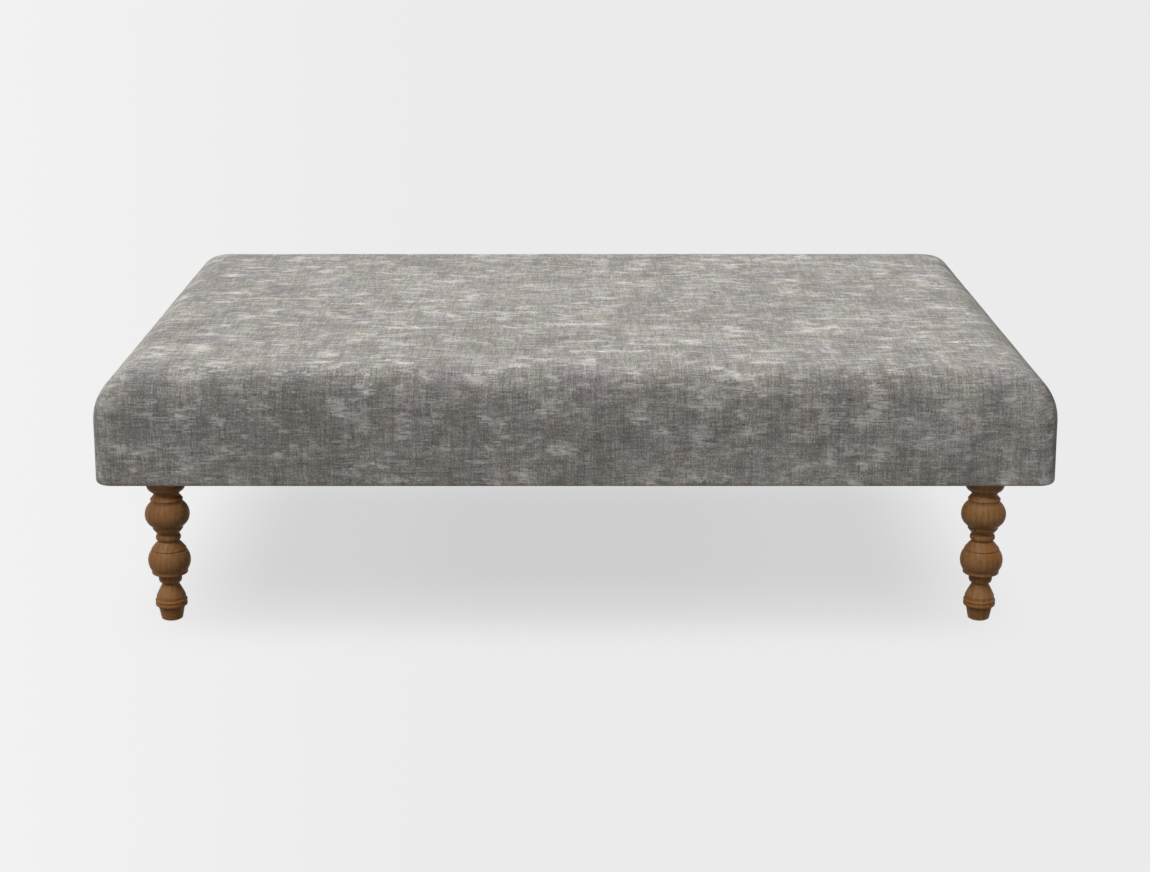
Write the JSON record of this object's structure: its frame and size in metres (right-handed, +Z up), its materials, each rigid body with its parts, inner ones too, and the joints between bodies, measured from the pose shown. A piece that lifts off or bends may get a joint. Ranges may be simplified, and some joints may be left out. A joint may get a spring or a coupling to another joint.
{
  "type": "footstool",
  "caption": "Low rectangular footstool: a softly rounded upholstered box over a wooden frame with webbing and foam, on turned wooden legs.",
  "frame": {"origin": "centre of the footprint on the floor, under the middle of the stool", "axes": "+X to the right along the longer side, +Y to the back, +Z up; the front is -Y"},
  "size_m": [1, 0.7, 0.2891],
  "materials": {
    "turned_wood": "satin",
    "plated_steel": "satin",
    "zinc_steel": "satin",
    "frame_wood": "matte",
    "dowel_wood": "matte",
    "webbing": "matte",
    "hessian": "matte",
    "foam": "matte",
    "wadding": "matte",
    "cover_fabric": "matte",
    "dust_cloth": "matte"
  },
  "bodies": {
    "root": {"leg_front_left": "turned_wood", "leg_front_right": "turned_wood", "leg_rear_left": "turned_wood", "leg_rear_right": "turned_wood", "foot_glides": "plated_steel", "hanger_bolts": "zinc_steel", "leg_plate_front_left": "zinc_steel", "leg_plate_front_right": "zinc_steel", "leg_plate_rear_left": "zinc_steel", "leg_plate_rear_right": "zinc_steel", "plate_screws": "zinc_steel", "corner_block_front_left": "frame_wood", "corner_block_front_right": "frame_wood", "corner_block_rear_left": "frame_wood", "corner_block_rear_right": "frame_wood", "front_rail": "frame_wood", "rear_rail": "frame_wood", "left_rail": "frame_wood", "right_rail": "frame_wood", "middle_rail": "frame_wood", "frame_dowels": "dowel_wood", "frame_screws": "zinc_steel", "lengthwise_webbing": "webbing", "crosswise_webbing": "webbing", "hessian": "hessian", "foam_pad": "foam", "wadding": "wadding", "fabric_cover": "cover_fabric", "dust_cover": "dust_cloth"}
  },
  "joints": []
}
